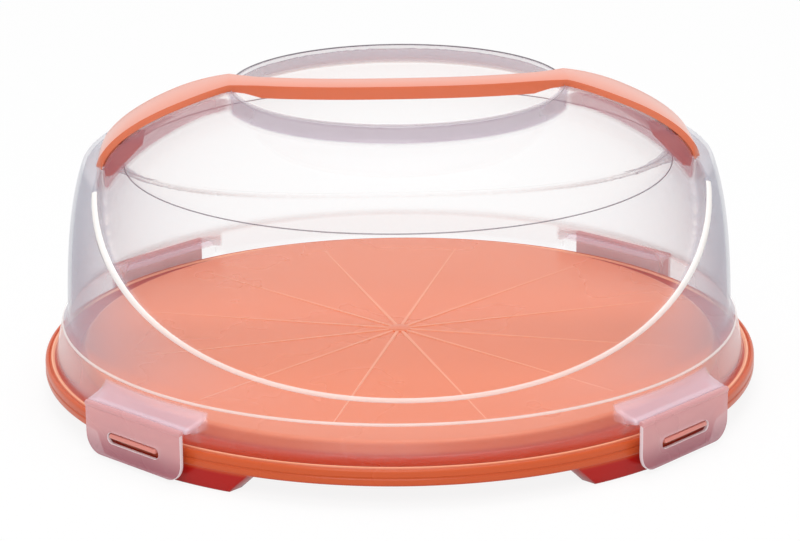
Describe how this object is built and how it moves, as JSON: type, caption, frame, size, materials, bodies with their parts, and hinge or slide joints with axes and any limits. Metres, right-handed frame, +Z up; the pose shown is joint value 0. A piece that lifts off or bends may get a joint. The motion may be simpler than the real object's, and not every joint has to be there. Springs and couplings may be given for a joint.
{
  "type": "cake carrier",
  "caption": "Round cake carrier: shallow footed tray, clear domed lid held by clips at the rim, and a carrying strap set across a finger dish in the lid's crown",
  "frame": {"origin": "centre of the four foot soles, on the surface that the carrier stands on", "axes": "+Z up, +X along the carrying strap, the pictured front faces -Y"},
  "size_m": [0.34, 0.34, 0.1473],
  "materials": {
    "tray": "orange moulded plastic, satin gloss",
    "dome": "clear moulded plastic, cool grey at its edges",
    "handle": "orange moulded plastic, satin gloss",
    "clip": "translucent lavender plastic"
  },
  "bodies": {
    "tray": {"tray": "tray"},
    "lid": {"dome": "dome", "handle": "handle"},
    "clip_front_left": {"clip_front_left": "clip"},
    "clip_front_right": {"clip_front_right": "clip"},
    "clip_back_right": {"clip_back_right": "clip"},
    "clip_back_left": {"clip_back_left": "clip"}
  },
  "joints": [
    {"name": "lid_lift", "type": "slide", "parent": "tray", "child": "lid", "axis": [0, 0, 1], "range_m": [0, 0.03]},
    {"name": "clip_front_left_flip", "type": "hinge", "parent": "lid", "child": "clip_front_left", "pos_m": [-0.12183, -0.12183, 0.025], "axis": [-0.7071, 0.7071, 0], "range_deg": [0, 135]},
    {"name": "clip_front_right_flip", "type": "hinge", "parent": "lid", "child": "clip_front_right", "pos_m": [0.12183, -0.12183, 0.025], "axis": [-0.7071, -0.7071, 0], "range_deg": [0, 135]},
    {"name": "clip_back_right_flip", "type": "hinge", "parent": "lid", "child": "clip_back_right", "pos_m": [0.12183, 0.12183, 0.025], "axis": [0.7071, -0.7071, 0], "range_deg": [0, 135]},
    {"name": "clip_back_left_flip", "type": "hinge", "parent": "lid", "child": "clip_back_left", "pos_m": [-0.12183, 0.12183, 0.025], "axis": [0.7071, 0.7071, 0], "range_deg": [0, 135]}
  ],
  "couplings": [
    {"joint": "clip_front_left_flip", "follows": "lid_lift", "rad_per_m": 78.5},
    {"joint": "clip_front_right_flip", "follows": "lid_lift", "rad_per_m": 78.5},
    {"joint": "clip_back_right_flip", "follows": "lid_lift", "rad_per_m": 78.5},
    {"joint": "clip_back_left_flip", "follows": "lid_lift", "rad_per_m": 78.5}
  ]
}
